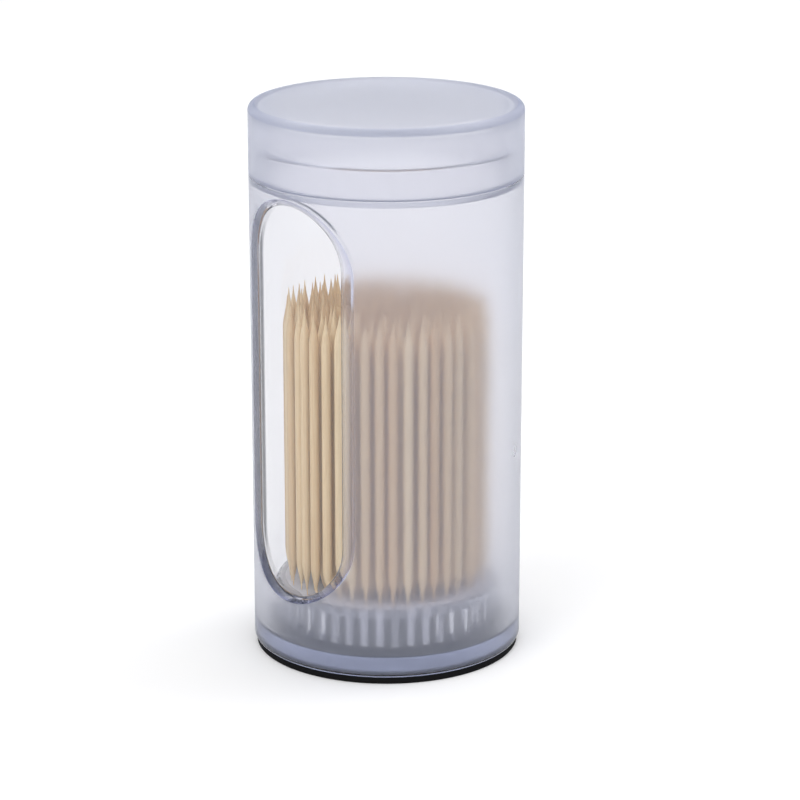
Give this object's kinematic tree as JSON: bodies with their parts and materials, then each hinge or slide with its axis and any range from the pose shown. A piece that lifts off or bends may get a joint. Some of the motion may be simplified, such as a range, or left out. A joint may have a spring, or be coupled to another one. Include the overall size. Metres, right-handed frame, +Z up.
{
  "type": "toothpick holder",
  "caption": "Round frosted toothpick holder with a clear side window, push-on lid, raised inner floor, foot pad and a standing bundle of double-pointed picks.",
  "frame": {"origin": "centre of the foot pad's underside, on the surface that the holder stands on", "axes": "+Z up along the holder's own axis, -Y out of the middle of the window"},
  "size_m": [0.0596, 0.0596, 0.1222],
  "materials": {
    "pad_rubber": "matt black",
    "frosted_plastic": "frosted, translucent",
    "clear_plastic": "clear, polished",
    "floor_plastic": "clear, glossy",
    "lid_plastic": "translucent, satin",
    "pick_wood": "plain birch, tumbled smooth"
  },
  "bodies": {
    "holder": {"foot_pad": "pad_rubber", "cup": "frosted_plastic", "window_pane": "clear_plastic", "raised_floor": "floor_plastic", "toothpicks_01": "pick_wood", "toothpicks_02": "pick_wood", "toothpicks_03": "pick_wood", "toothpicks_04": "pick_wood", "toothpicks_05": "pick_wood", "toothpicks_06": "pick_wood", "toothpicks_07": "pick_wood", "toothpicks_08": "pick_wood", "toothpicks_09": "pick_wood", "toothpicks_10": "pick_wood", "toothpicks_11": "pick_wood", "toothpicks_12": "pick_wood", "toothpicks_13": "pick_wood", "toothpicks_14": "pick_wood", "toothpicks_15": "pick_wood"},
    "lid": {"lid": "lid_plastic"}
  },
  "joints": [
    {"name": "lid_lift", "type": "slide", "parent": "holder", "child": "lid", "axis": [0, 0, 1], "range_m": [0, 0.04]}
  ]
}
